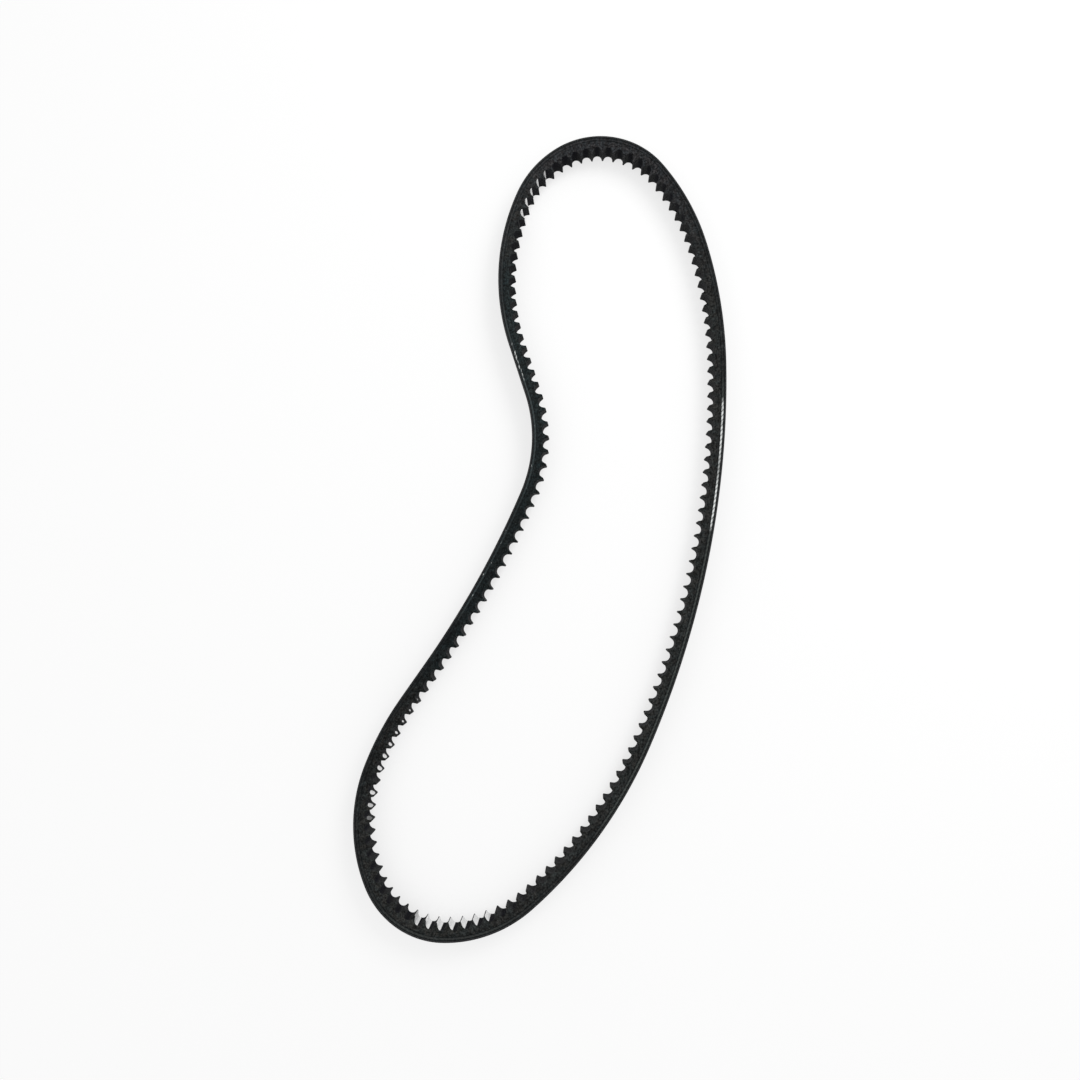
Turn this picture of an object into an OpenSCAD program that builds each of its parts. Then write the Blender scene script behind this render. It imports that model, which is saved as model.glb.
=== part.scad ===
// Raw-edge cogged V belt lying on its side in a slack loop.
// The section is built from the back inwards: two fabric plies, cushion gum with the turns of the
// tension cord, adhesion gum, and the compression rubber with its moulded cogs.
// Origin: under the middle of the loop on the surface it lies on. +Z is up, +Y runs along the loop.

/* [Section] */
// Width across the back, where the belt is widest
top_w = 13; // [11:0.1:22]
// Height from the back to the tips of the cogs
belt_h = 8; // [7:0.1:11]
// Angle between the two cut flanks, in degrees
flank_angle = 40; // [30:1:44]

/* [Back fabric] */
// Thickness of the outer fabric ply, whose edges are ground square
outer_ply_t = 0.4; // [0.3:0.05:0.5]
// Thickness of the inner fabric ply
inner_ply_t = 0.4; // [0.3:0.05:0.5]

/* [Tension cord] */
// Diameter of the cord
cord_d = 1; // [0.6:0.05:1.1]
// Distance between neighbouring turns
cord_pitch = 1.3; // [1.2:0.01:1.32]
// Rubber between the fabric and the cord
over_cord_t = 0.25; // [0.15:0.05:0.6]
// Rubber between the cord and the compression rubber
under_cord_t = 0.35; // [0.15:0.05:0.6]

/* [Cogs] */
// Spacing of the cogs along the cord line, before it is fitted to the loop
cog_pitch = 6.45; // [6:0.05:9]
// Way along the cord line from the start of the straight left span to the first groove
first_groove = 2.05; // [0.5:0.05:5.5]
// Depth of the grooves between the cogs
cog_depth = 3.1; // [2.6:0.1:3.6]
// Radius of the round groove root where the belt has its moulded curve
root_r = 2.4; // [1.8:0.05:2.5]
// Slope of the groove sides beside the round root, in degrees
mouth_flare = 18; // [8:1:22]
// Rounding of the cog tips
tip_r = 0.35; // [0.2:0.05:0.6]

/* [Loop, anticlockwise from the straight left span] */
// Heading of the straight left span, in degrees from +X
span_heading = -125; // [-130:1:-120]
// Turn of the gentle bend that follows the left span, in degrees
easing_turn = 14; // [10:1:18]
// Radius of the back on the gentle bend
easing_r = 145; // [125:1:165]
// Turn of the bend at the lower left, in degrees
low_left_turn = 45; // [41:1:49]
// Radius of the back on the bend at the lower left
low_left_r = 74; // [66:1:82]
// Turn of the bend at the lower right, in degrees
low_right_turn = 41; // [37:1:45]
// Radius of the back on the bend at the lower right
low_right_r = 64; // [56:1:72]
// Turn of the run up from the lower right, in degrees
low_side_turn = 25; // [22:1:29]
// Radius of the back on the run up from the lower right
low_side_r = 215; // [190:1:240]
// Turn of the long right side, in degrees
right_turn = 24; // [23:1:28]
// Radius of the back on the long right side
right_r = 450; // [415:5:490]
// Turn of the run towards the upper right, in degrees
up_side_turn = 16; // [13:1:19]
// Radius of the back on the run towards the upper right
up_side_r = 225; // [195:1:255]
// Turn of the bend at the upper right, in degrees
up_right_turn = 23; // [19:1:26]
// Radius of the back on the bend at the upper right
up_right_r = 115; // [95:1:135]
// Turn of the tight bend at the top, in degrees
top_turn = 83; // [78:1:85]
// Radius of the back on the tight bend at the top
top_r = 41; // [36:1:46]
// Turn of the bend that follows the tight one, in degrees
top_left_turn = 34; // [29:1:36]
// Radius of the back on the bend that follows the tight one
top_left_r = 50; // [42:1:58]
// Turn of the shoulder left of the top, in degrees
shoulder_turn = 42; // [36:1:44]
// Radius of the back on the shoulder
shoulder_r = 109; // [95:1:123]
// Length of the straight span below the shoulder
shoulder_span = 27; // [15:1:40]
// Turn of the hollow neck, in degrees to the other side
neck_turn = 41; // [37:1:45]
// Radius of the back in the hollow neck
neck_r = 69; // [60:1:80]
// Turn of the slack run below the neck, in degrees to the other side
slack_turn = 12; // [9:1:13]
// Radius of the back in the slack run
slack_r = 450; // [400:5:500]

/* [Hidden] */
cord_turns = 10;
moulded_r = 148;
$fa = 1;
$fs = 0.5;

// Depths of the layers below the back
ply_mid = outer_ply_t;
ply_in = outer_ply_t + inner_ply_t;
cord_line = ply_in + over_cord_t + cord_d / 2;
gum_in = cord_line + cord_d / 2 + under_cord_t;

// Half the width of the section at a depth: square over the outer ply, then along the cut flank
function half_w(d) = top_w / 2 - max(0, d - outer_ply_t) * tan(flank_angle / 2);

// Way that a bend or a straight covers: a turn of 0 marks a straight, and size is its length
function way(a, turn, size) = turn == 0
    ? size * [cos(a), sin(a)]
    : sign(turn) * size * [sin(a + turn) - sin(a), cos(a) - cos(a + turn)];
function sum_to(list, n) = n <= 0 ? 0 * list[0] : list[n - 1] + sum_to(list, n - 1);

// The foot bend takes up what is left of the full turn
foot_turn = 360 - easing_turn - low_left_turn - low_right_turn - low_side_turn - right_turn
    - up_side_turn - up_right_turn - top_turn - top_left_turn - shoulder_turn
    + neck_turn + slack_turn;
turns = [
    0, easing_turn, low_left_turn, foot_turn, low_right_turn, low_side_turn, right_turn,
    up_side_turn, up_right_turn, top_turn, top_left_turn, shoulder_turn,
    0, -neck_turn, -slack_turn
];
headings = [for (i = [0:len(turns) - 1]) span_heading + sum_to(turns, i)];

// The left span and the foot bend take the length and the radius that close the loop
LEFT = 0;
FOOT = 3;
set_sizes = [
    0, easing_r, low_left_r, 0, low_right_r, low_side_r, right_r,
    up_side_r, up_right_r, top_r, top_left_r, shoulder_r,
    shoulder_span, neck_r, slack_r
];
open_gap = sum_to([for (i = [0:len(turns) - 1]) way(headings[i], turns[i], set_sizes[i])], len(turns));
u = way(headings[LEFT], 0, 1);
v = way(headings[FOOT], foot_turn, 1);
det = u[0] * v[1] - u[1] * v[0];
left_span = (v[0] * open_gap[1] - v[1] * open_gap[0]) / det;
foot_r = (u[1] * open_gap[0] - u[0] * open_gap[1]) / det;
sizes = [for (i = [0:len(turns) - 1]) i == LEFT ? left_span : i == FOOT ? foot_r : set_sizes[i]];
ways = [for (i = [0:len(turns) - 1]) way(headings[i], turns[i], sizes[i])];

// Extreme points of the back, taken at whole degrees of heading, centre the loop on the origin
back_points = [
    for (i = [0:len(turns) - 1])
        for (t = [1:max(1, abs(turns[i]))])
            sum_to(ways, i) + (turns[i] == 0 ? t * ways[i] : way(headings[i], sign(turns[i]) * t, sizes[i]))
];
centre_x = (min([for (p = back_points) p[0]]) + max([for (p = back_points) p[0]])) / 2;
centre_y = (min([for (p = back_points) p[1]]) + max([for (p = back_points) p[1]])) / 2;
starts = [for (i = [0:len(turns) - 1]) sum_to(ways, i) - [centre_x, centre_y]];

// Length of each piece of the loop at a depth below the back
function run(i, d) = turns[i] == 0 ? sizes[i] : abs(turns[i]) * PI / 180 * (sizes[i] - sign(turns[i]) * d);
cord_runs = [for (i = [0:len(turns) - 1]) run(i, cord_line)];
cord_length = sum_to(cord_runs, len(turns));
cog_count = round(cord_length / cog_pitch);
fitted_pitch = cord_length / cog_count;
function piece_at(s, i) = i == len(turns) - 1 || s <= cord_runs[i] ? [i, s] : piece_at(s - cord_runs[i], i + 1);

// Pieces of the loop join by a short lap, where the next section is smaller by a hundredth
step_t = 0.01;
lap = 0.2;
function level(i) = i == len(turns) - 1 ? 2 : i % 2;

// Carries a section, drawn with depth along X and width along Y, once round the loop
module round_the_loop() {
    translate([0, 0, top_w / 2])
        for (i = [0:len(turns) - 1]) {
            $inset = level(i) * step_t;
            over = level(i) == 0 ? 0 : lap;
            sweep = over / sizes[i] * 180 / PI;
            translate(starts[i])
                if (turns[i] == 0)
                    rotate([90, 0, headings[i] + 90])
                        translate([0, 0, -over])
                            linear_extrude(sizes[i] + 2 * over)
                                children();
                else if (turns[i] > 0)
                    rotate([0, 0, headings[i] - 90])
                        translate([-sizes[i], 0, 0])
                            rotate([0, 0, -sweep])
                                rotate_extrude(angle = turns[i] + 2 * sweep, $fn = 360)
                                    translate([sizes[i], 0])
                                        mirror([1, 0])
                                            children();
                else
                    rotate([0, 0, headings[i] + 90])
                        translate([-sizes[i], 0, 0])
                            rotate([0, 0, turns[i] - sweep])
                                rotate_extrude(angle = -turns[i] + 2 * sweep, $fn = 360)
                                    translate([sizes[i], 0])
                                        children();
        }
}

// Section of one layer between two depths
module layer(d0, d1) {
    a = d0 + $inset;
    b = d1 - $inset;
    wa = half_w(d0) - $inset;
    wb = half_w(d1) - $inset;
    polygon([[a, -wa], [b, -wb], [b, wb], [a, wa]]);
}

function cord_y(n) = (n - (cord_turns + 1) / 2) * cord_pitch;

// Section of one turn; the two turns that the flanks slice are drawn with twelve sides
module cord_circle(n, r) {
    translate([cord_line, cord_y(n)])
        circle(r = r, $fn = n == 1 || n == cord_turns ? 12 : 40);
}

module cord_channels() {
    for (n = [1:cord_turns])
        cord_circle(n, cord_d / 2 + $inset);
}

// Groove between two cogs, which closes on a bend and opens in the hollow neck
module groove(curve) {
    root_x = belt_h - cog_depth;
    squeeze = fitted_pitch * (curve - 1 / (moulded_r - cord_line)) / 2;
    r = root_r - (root_x + root_r - cord_line) * squeeze;
    flare = mouth_flare - squeeze * 180 / PI;
    side_r = 0.97 * r;
    side_x = root_x + r - side_r * sin(flare);
    side_y = side_r * cos(flare);
    mouth = side_y + (belt_h - side_x) * tan(flare) + tip_r * tan((90 - flare) / 2);
    rounding = [
        for (t = [3:-1:0])
            [belt_h - tip_r + tip_r * cos(t * (90 - flare) / 3), mouth - tip_r * sin(t * (90 - flare) / 3)]
    ];
    union() {
        translate([root_x + r, 0])
            circle(r = r, $fn = 48);
        polygon(concat(
            [[side_x, -side_y]],
            [for (p = rounding) [p[0], -p[1]]],
            [[belt_h + 1, -mouth], [belt_h + 1, mouth]],
            [for (n = [3:-1:0]) rounding[n]],
            [[side_x, side_y]]
        ));
    }
}

module outer_ply() {
    color([0.11, 0.11, 0.11])
        round_the_loop()
            layer(0, ply_mid);
}

module inner_ply() {
    color([0.13, 0.13, 0.13])
        round_the_loop()
            layer(ply_mid, ply_in);
}

module over_gum() {
    color([0.15, 0.16, 0.16])
        round_the_loop()
            difference() {
                layer(ply_in, cord_line);
                cord_channels();
            }
}

module under_gum() {
    color([0.15, 0.16, 0.16])
        round_the_loop()
            difference() {
                layer(cord_line, gum_in);
                cord_channels();
            }
}

// One turn of the cord; the flanks slice the two turns that lie at the edges
module cord(n) {
    color([0.55, 0.58, 0.56])
        round_the_loop()
            intersection() {
                cord_circle(n, cord_d / 2 - $inset);
                layer(ply_in, gum_in);
            }
}

module cog_body() {
    color([0.16, 0.17, 0.17])
        difference() {
            round_the_loop()
                layer(gum_in, belt_h);
            for (k = [0:cog_count - 1]) {
                at = piece_at(first_groove + k * fitted_pitch, 0);
                i = at[0];
                part_turn = turns[i] * at[1] / cord_runs[i];
                gone = turns[i] == 0
                    ? way(headings[i], 0, at[1])
                    : way(headings[i], part_turn, sizes[i]);
                curve = turns[i] == 0 ? 0 : 1 / (sign(turns[i]) * sizes[i] - cord_line);
                translate(concat(starts[i] + gone, -1))
                    rotate([0, 0, headings[i] + part_turn + 90])
                        linear_extrude(top_w + 2)
                            groove(curve);
            }
        }
}

outer_ply();
inner_ply();
over_gum();
cord(1);  // cord_1
cord(2);  // cord_2
cord(3);  // cord_3
cord(4);  // cord_4
cord(5);  // cord_5
cord(6);  // cord_6
cord(7);  // cord_7
cord(8);  // cord_8
cord(9);  // cord_9
cord(10);  // cord_10
under_gum();
cog_body();
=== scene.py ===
"""Dresses a raw-edge cogged V belt that lies on its side in a slack loop.

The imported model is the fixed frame. The visible layers of the belt are modelled straight, as
one long strip, and are then laid along the loop, so that every weave, fibre and grinding line
follows the belt round its bends.
"""

import math

import bmesh
import bpy
from bpy.props import FloatProperty, FloatVectorProperty, PointerProperty
from mathutils import Matrix, Vector


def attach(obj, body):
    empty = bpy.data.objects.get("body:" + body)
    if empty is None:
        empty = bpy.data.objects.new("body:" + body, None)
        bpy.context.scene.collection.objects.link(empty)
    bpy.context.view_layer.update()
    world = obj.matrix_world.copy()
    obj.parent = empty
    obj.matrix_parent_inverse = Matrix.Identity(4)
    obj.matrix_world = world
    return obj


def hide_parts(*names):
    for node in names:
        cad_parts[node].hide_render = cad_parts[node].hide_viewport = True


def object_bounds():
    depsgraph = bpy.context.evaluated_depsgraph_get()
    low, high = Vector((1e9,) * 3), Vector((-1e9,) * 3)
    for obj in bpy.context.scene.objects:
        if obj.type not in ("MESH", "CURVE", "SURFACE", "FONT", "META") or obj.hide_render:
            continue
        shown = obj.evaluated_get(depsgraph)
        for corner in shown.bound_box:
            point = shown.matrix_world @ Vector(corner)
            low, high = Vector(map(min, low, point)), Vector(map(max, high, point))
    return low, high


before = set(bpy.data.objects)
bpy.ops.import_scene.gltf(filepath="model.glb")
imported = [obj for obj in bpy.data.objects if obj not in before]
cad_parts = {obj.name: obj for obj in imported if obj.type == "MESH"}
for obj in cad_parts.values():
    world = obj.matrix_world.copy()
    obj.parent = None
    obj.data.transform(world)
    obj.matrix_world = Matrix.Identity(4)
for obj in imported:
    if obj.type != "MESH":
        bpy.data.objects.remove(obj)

bl_info = {
    "name": "Cogged V belt",
    "version": (1, 0, 0),
    "blender": (4, 5, 0),
    "location": "View3D > Sidebar > V belt",
    "description": "Builds the dressed V belt and its stage round the packed model",
    "category": "Object",
}

CAD_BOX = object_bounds()
STRIP = "strip"
MM = 0.001
MERGE = 0.01 * MM
EXACT = 0.0001 * MM
SWEEP_STEP = 1.2 * MM
SHARP_ANGLE = math.radians(32)


# Settings


def length_property(label, description, millimetres):
    """Length setting, given in millimetres"""
    return FloatProperty(
        name=label, description=description, default=millimetres * MM, unit="LENGTH"
    )


def angle_property(label, description, degrees):
    """Angle setting, given in degrees"""
    return FloatProperty(
        name=label, description=description, default=math.radians(degrees), subtype="ANGLE"
    )


def colour_property(label, value):
    """Colour setting of one finish"""
    return FloatVectorProperty(
        name=label, description="Base colour", default=value, subtype="COLOR", size=3, min=0, max=1
    )


def stretch_property(label, ends):
    """Start and end of a stretch of the loop, along the cord line"""
    return FloatVectorProperty(
        name=label,
        description="Start and end along the cord line, which may run on past the loop's start",
        default=ends,
        size=2,
        min=0,
        unit="LENGTH",
    )


def offset_property(label, description, offset):
    """Setting for a way from the middle of the belt's foot print"""
    return FloatVectorProperty(
        name=label, description=description, default=offset, subtype="TRANSLATION", unit="LENGTH"
    )


class BeltSection(bpy.types.PropertyGroup):
    """Sizes of the belt's section"""

    top_width: length_property("Top width", "Width across the back", 13)
    height: length_property("Height", "From the back to the cog tips", 8)
    flank_angle: angle_property("Flank angle", "Angle between the two cut flanks", 40)
    outer_ply: length_property("Outer ply", "Thickness of the outer fabric", 0.4)
    inner_ply: length_property("Inner ply", "Thickness of the inner fabric", 0.4)
    cord: length_property("Cord", "Diameter of the tension cord", 1)
    cord_pitch: length_property("Cord pitch", "Distance between the cord's turns", 1.3)
    over_cord: length_property("Over cord", "Rubber over the cord", 0.25)
    under_cord: length_property("Under cord", "Rubber under the cord", 0.35)
    cut_edge: length_property("Cut edge", "Width of the dulled cut edges", 0.1)


class BeltCogs(bpy.types.PropertyGroup):
    """Sizes of the moulded cogs"""

    pitch: length_property("Pitch", "Spacing along the cord line", 6.45)
    depth: length_property("Groove depth", "Depth of the grooves", 3.1)
    root: length_property("Root radius", "Radius of the groove root", 2.4)
    flare: angle_property("Mouth flare", "Slope of the groove sides beside the round root", 18)
    tip: length_property("Tip rounding", "Rounding of the cog tips", 0.35)
    first: length_property("First groove", "Way along the cord line to the first groove", 2.05)
    moulded: length_property("Moulded radius", "Radius of the back in the mould", 148)


def turn_property(label, degrees):
    """Angle setting of one bend of the loop"""
    return angle_property(label, "Turn of this bend", degrees)


def radius_property(label, millimetres):
    """Length setting of one bend of the loop"""
    return length_property(label, "Radius of the back here", millimetres)


class BeltLoop(bpy.types.PropertyGroup):
    """Bends of the loop, anticlockwise from the straight left span"""

    heading: angle_property("Span heading", "Heading of the left span from +X", -125)
    easing_turn: turn_property("Easing turn", 14)
    easing_radius: radius_property("Easing radius", 145)
    low_left_turn: turn_property("Lower left turn", 45)
    low_left_radius: radius_property("Lower left radius", 74)
    low_right_turn: turn_property("Lower right turn", 41)
    low_right_radius: radius_property("Lower right radius", 64)
    low_side_turn: turn_property("Lower side turn", 25)
    low_side_radius: radius_property("Lower side radius", 215)
    right_turn: turn_property("Right side turn", 24)
    right_radius: radius_property("Right side radius", 450)
    up_side_turn: turn_property("Upper side turn", 16)
    up_side_radius: radius_property("Upper side radius", 225)
    up_right_turn: turn_property("Upper right turn", 23)
    up_right_radius: radius_property("Upper right radius", 115)
    top_turn: turn_property("Top turn", 83)
    top_radius: radius_property("Top radius", 41)
    top_left_turn: turn_property("Upper left turn", 34)
    top_left_radius: radius_property("Upper left radius", 50)
    shoulder_turn: turn_property("Shoulder turn", 42)
    shoulder_radius: radius_property("Shoulder radius", 109)
    shoulder_span: length_property("Shoulder span", "Length of the straight span here", 27)
    neck_turn: turn_property("Neck turn", 41)
    neck_radius: radius_property("Neck radius", 69)
    slack_turn: turn_property("Slack run turn", 12)
    slack_radius: radius_property("Slack run radius", 450)


class BeltLooks(bpy.types.PropertyGroup):
    """Colours of the belt's finishes, some of them lit and shaded copies that paint light and shade,
    and the stretches of the loop where they change
    """

    fabric: colour_property("Fabric", (0.0175, 0.018, 0.0185))
    fabric_thread: colour_property("Fabric thread", (0.042, 0.043, 0.044))
    rubber: colour_property("Cut rubber", (0.0186, 0.0198, 0.0191))
    # Painted shade: a darker, cooler copy of the cut rubber for the left side of the loop
    rubber_cool: colour_property("Cool run", (0.0114, 0.0158, 0.0164))
    # Painted light: a lighter copy of the cut rubber for the top bend of the loop
    rubber_painted_light: colour_property("Dusty top", (0.0225, 0.023, 0.0246))
    # Shaded and lit copies of the moulded rubber: the dark one is painted shade in the groove roots,
    # the paler one painted light toward the cog tips
    moulded_rubber: colour_property("Moulded rubber", (0.0045, 0.0048, 0.0072))
    moulded_pale: colour_property("Cog tips with painted light", (0.027, 0.0278, 0.0285))
    # Painted highlight: white put on the groove sides that face the light
    painted_highlight: colour_property("Painted highlight", (0.86, 0.86, 0.86))
    cord: colour_property("Cord", (0.05, 0.056, 0.053))
    # Painted shade: a darker, cooler copy of the cord for the left side
    cord_cool: colour_property("Cord on the cool run", (0.026, 0.036, 0.038))
    # Bright cord: the pale fibre brightened into a painted sheen and painted glints
    cord_bright: colour_property("Bright cord", (0.72, 0.74, 0.73))
    weave_pitch: length_property("Weave pitch", "Spacing of the fabric's threads", 0.62)
    strand_lay: length_property("Strand lay", "Length of one twist of the cord", 7.2)
    # Stretch of painted light on the top bend
    painted_light_top: stretch_property("Dusty top", (0.52, 0.71))
    # The next two stretches are painted shade on the left side: cooler, then darker
    cool_run: stretch_property("Cool run", (0.702, 0.945))
    dark_run: stretch_property("Darker run", (0.79, 1.01))
    # Painted light on the grooves of the right side
    pale_grooves: stretch_property("Paler grooves", (0.19, 0.57))
    # Stretches of painted highlights on the groove sides, and one groove left without them
    highlight_top: stretch_property("Talc at the top left", (0.6575, 0.6905))
    # Painted shade in the grooves at the top left
    dark_grooves: stretch_property("Dark grooves at the top left", (0.635, 0.735))
    highlight_left: stretch_property("Talc at the lower left", (0.014, 0.084))
    clean: stretch_property("Groove without painted highlight at the lower left", (0.0592, 0.0652))
    highlight_foot: stretch_property("Talc at the foot", (0.138, 0.186))
    bare_right: stretch_property("Bare cord on the right", (0.245, 0.48))
    bare_left: stretch_property("Bare cord on the left", (0.735, 0.905))
    bare_foot: stretch_property("Bare cord at the foot", (0.115, 0.205))
    # Stretches of painted glints and of painted sheen on the bare cord
    dashes: stretch_property("Painted glints on the left", (0.7555, 0.7765))
    shine: stretch_property("Bright cord", (0.401, 0.467))
    lap: length_property("Lap", "Way along the cord line to the lap", 900)


class BeltStage(bpy.types.PropertyGroup):
    """Camera, lamps and floor"""

    camera_offset: offset_property(
        "Camera offset", "From the belt's middle to the lens", (0.02505, -0.02831, 0.42293)
    )
    target_offset: offset_property(
        "Target offset", "From the belt's middle to the aimed point", (0.00571, 0.00977, 0.0065)
    )
    lens: FloatProperty(name="Lens", description="Focal length in mm", default=28.318)
    shift_x: FloatProperty(name="Shift X", description="Sideways shift", default=-0.01381)
    shift_y: FloatProperty(name="Shift Y", description="Upward shift", default=-0.03255)
    sky: FloatProperty(name="Sky", description="Strength of the room's light", default=0.72)
    key: FloatProperty(name="Key", description="Power of the right lamp", default=3.4, unit="POWER")
    fill: FloatProperty(name="Fill", description="Power of the left lamp", default=1.0, unit="POWER")
    floor: colour_property("Floor", (0.94, 0.94, 0.94))
    floor_lift: FloatProperty(
        name="Floor lift", description="Share of plain white in the floor as seen", default=0.7
    )


# The loop


class LoopPiece:
    """One straight or bend of the loop, with its length along the cord line"""

    def __init__(self, heading, turn, size, cord_line):
        self.heading = heading
        self.turn = turn
        self.size = size
        self.start = Vector((0, 0))
        self.length = size if turn == 0 else abs(turn) * (size - math.copysign(cord_line, turn))

    def way(self, share=1.0):
        """Way along the back from the start of the piece"""
        if self.turn == 0:
            return self.size * share * direction(self.heading)
        end = self.heading + self.turn * share
        side = math.copysign(self.size, self.turn)
        return side * Vector(
            (math.sin(end) - math.sin(self.heading), math.cos(self.heading) - math.cos(end))
        )


def direction(angle):
    """Unit vector at an angle from +X"""
    return Vector((math.cos(angle), math.sin(angle)))


class BeltPath:
    """The closed loop of the back, centred on the frame's origin"""

    LEFT = 0
    FOOT = 3

    def __init__(self, loop, section):
        cord_line = section.outer_ply + section.inner_ply + section.over_cord + section.cord / 2
        bends = [
            (0, 0),
            (loop.easing_turn, loop.easing_radius),
            (loop.low_left_turn, loop.low_left_radius),
            (0, 0),
            (loop.low_right_turn, loop.low_right_radius),
            (loop.low_side_turn, loop.low_side_radius),
            (loop.right_turn, loop.right_radius),
            (loop.up_side_turn, loop.up_side_radius),
            (loop.up_right_turn, loop.up_right_radius),
            (loop.top_turn, loop.top_radius),
            (loop.top_left_turn, loop.top_left_radius),
            (loop.shoulder_turn, loop.shoulder_radius),
            (0, loop.shoulder_span),
            (-loop.neck_turn, loop.neck_radius),
            (-loop.slack_turn, loop.slack_radius),
        ]
        foot_turn = 2 * math.pi - sum(turn for turn, _ in bends)
        bends[self.FOOT] = (foot_turn, 0)
        headings = []
        heading = loop.heading
        for turn, _ in bends:
            headings.append(heading)
            heading += turn
        sizes = [size for _, size in bends]
        gap = Vector((0, 0))
        for (turn, size), angle in zip(bends, headings):
            gap += LoopPiece(angle, turn, size, cord_line).way()
        along_left = direction(headings[self.LEFT])
        along_foot = LoopPiece(headings[self.FOOT], foot_turn, 1, cord_line).way()
        det = along_left.x * along_foot.y - along_left.y * along_foot.x
        sizes[self.LEFT] = (along_foot.x * gap.y - along_foot.y * gap.x) / det
        sizes[self.FOOT] = (along_left.y * gap.x - along_left.x * gap.y) / det
        self.pieces = [
            LoopPiece(angle, turn, size, cord_line)
            for (turn, _), angle, size in zip(bends, headings, sizes)
        ]
        at = Vector((0, 0))
        seen = []
        for piece in self.pieces:
            piece.start = at.copy()
            steps = max(1, round(math.degrees(abs(piece.turn))))
            seen += [at + piece.way(step / steps) for step in range(1, steps + 1)]
            at += piece.way()
        centre = Vector(
            [(min(p[i] for p in seen) + max(p[i] for p in seen)) / 2 for i in range(2)]
        )
        for piece in self.pieces:
            piece.start -= centre
        self.cord_line = cord_line
        self.length = sum(piece.length for piece in self.pieces)
        self.middle = section.top_width / 2

    def place(self, strip):
        """Point of the loop for a point of the straight strip: along, depth and across"""
        along = strip.x % self.length
        index = 0
        while index < len(self.pieces) - 1 and along > self.pieces[index].length:
            along -= self.pieces[index].length
            index += 1
        piece = self.pieces[index]
        share = along / piece.length
        back = piece.start + piece.way(share)
        angle = piece.heading + piece.turn * share
        inward = Vector((-math.sin(angle), math.cos(angle)))
        spot = back + inward * strip.y
        return Vector((spot.x, spot.y, self.middle + strip.z))


def half_width(section, depth):
    """Half the width of the section at a depth below the back"""
    cut = max(0, depth - section.outer_ply)
    return section.top_width / 2 - cut * math.tan(section.flank_angle / 2)


# Making pieces


def lay_on_loop(bm, path, start=0.0):
    """Keeps each corner's place on the straight strip, then lays the strip along the loop"""
    layer = bm.loops.layers.float_vector.new(STRIP)
    for face in bm.faces:
        for corner in face.loops:
            corner[layer] = corner.vert.co
    for vert in bm.verts:
        if abs(vert.co.x - start - path.length) < MERGE:
            vert.co.x = start
        vert.co = path.place(vert.co)
    bmesh.ops.remove_doubles(bm, verts=bm.verts, dist=EXACT)


def verts_of(geom):
    """The vertices among mixed bmesh parts"""
    return [item for item in geom if isinstance(item, bmesh.types.BMVert)]


def move_along(bm, step, steps, copies):
    """Repeats the whole drawing along the strip, as separate copies or joined by faces"""
    bmesh.ops.spin(
        bm,
        geom=bm.verts[:] + bm.edges[:],
        cent=(0, 0, 0),
        axis=(0, 0, 1),
        dvec=(step, 0, 0),
        angle=0,
        steps=steps,
        use_duplicate=copies,
    )


def sweep(bm, path):
    """Carries the section drawn at the start of the strip along its whole length"""
    steps = round(path.length / SWEEP_STEP)
    move_along(bm, path.length / steps, steps, copies=False)


def arc(bm, first, centre, angle, steps):
    """Draws an arc from a vertex, and gives the vertex at its other end"""
    made = bmesh.ops.spin(
        bm, geom=[first], cent=centre, axis=(0, 0, 1), angle=angle, steps=steps, use_duplicate=False
    )
    return verts_of(made["geom_last"])[0]


def section_ring(bm, points):
    """Closed ring of edges at the start of the strip, from (depth, across) points"""
    ring = [bm.verts.new((0, depth, across)) for depth, across in points]
    for one, two in zip(ring, ring[1:] + ring[:1]):
        bm.edges.new((one, two))


def mark_sharp(bm, angle):
    """Smooth faces, with the edges over an angle left sharp"""
    for face in bm.faces:
        face.smooth = True
    for edge in bm.edges:
        if len(edge.link_faces) == 2:
            edge.smooth = edge.calc_face_angle(0) < angle


def add_object(bm, name, finishes):
    """Puts a bmesh into the scene as an object with its materials"""
    mesh = bpy.data.meshes.new(name)
    bm.to_mesh(mesh)
    bm.free()
    for finish in finishes:
        mesh.materials.append(finish)
    piece = bpy.data.objects.new(name, mesh)
    bpy.context.scene.collection.objects.link(piece)
    return piece


def finish_piece(bm, name, node_names, finishes):
    """Turns a closed bmesh into a piece that stands for its CAD nodes"""
    bmesh.ops.recalc_face_normals(bm, faces=bm.faces)
    open_edges = [edge for edge in bm.edges if not edge.is_manifold]
    if open_edges:
        spots = [tuple(round(c, 5) for c in edge.verts[0].co) for edge in open_edges[:3]]
        raise RuntimeError(f"{name} has {len(open_edges)} open edges, the first at {spots}")
    if bm.calc_volume(signed=True) < 0:
        bmesh.ops.reverse_faces(bm, faces=bm.faces)
    mark_sharp(bm, SHARP_ANGLE)
    piece = add_object(bm, name, finishes)
    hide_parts(*node_names)
    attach(piece, "root")


# Shader groups


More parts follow.
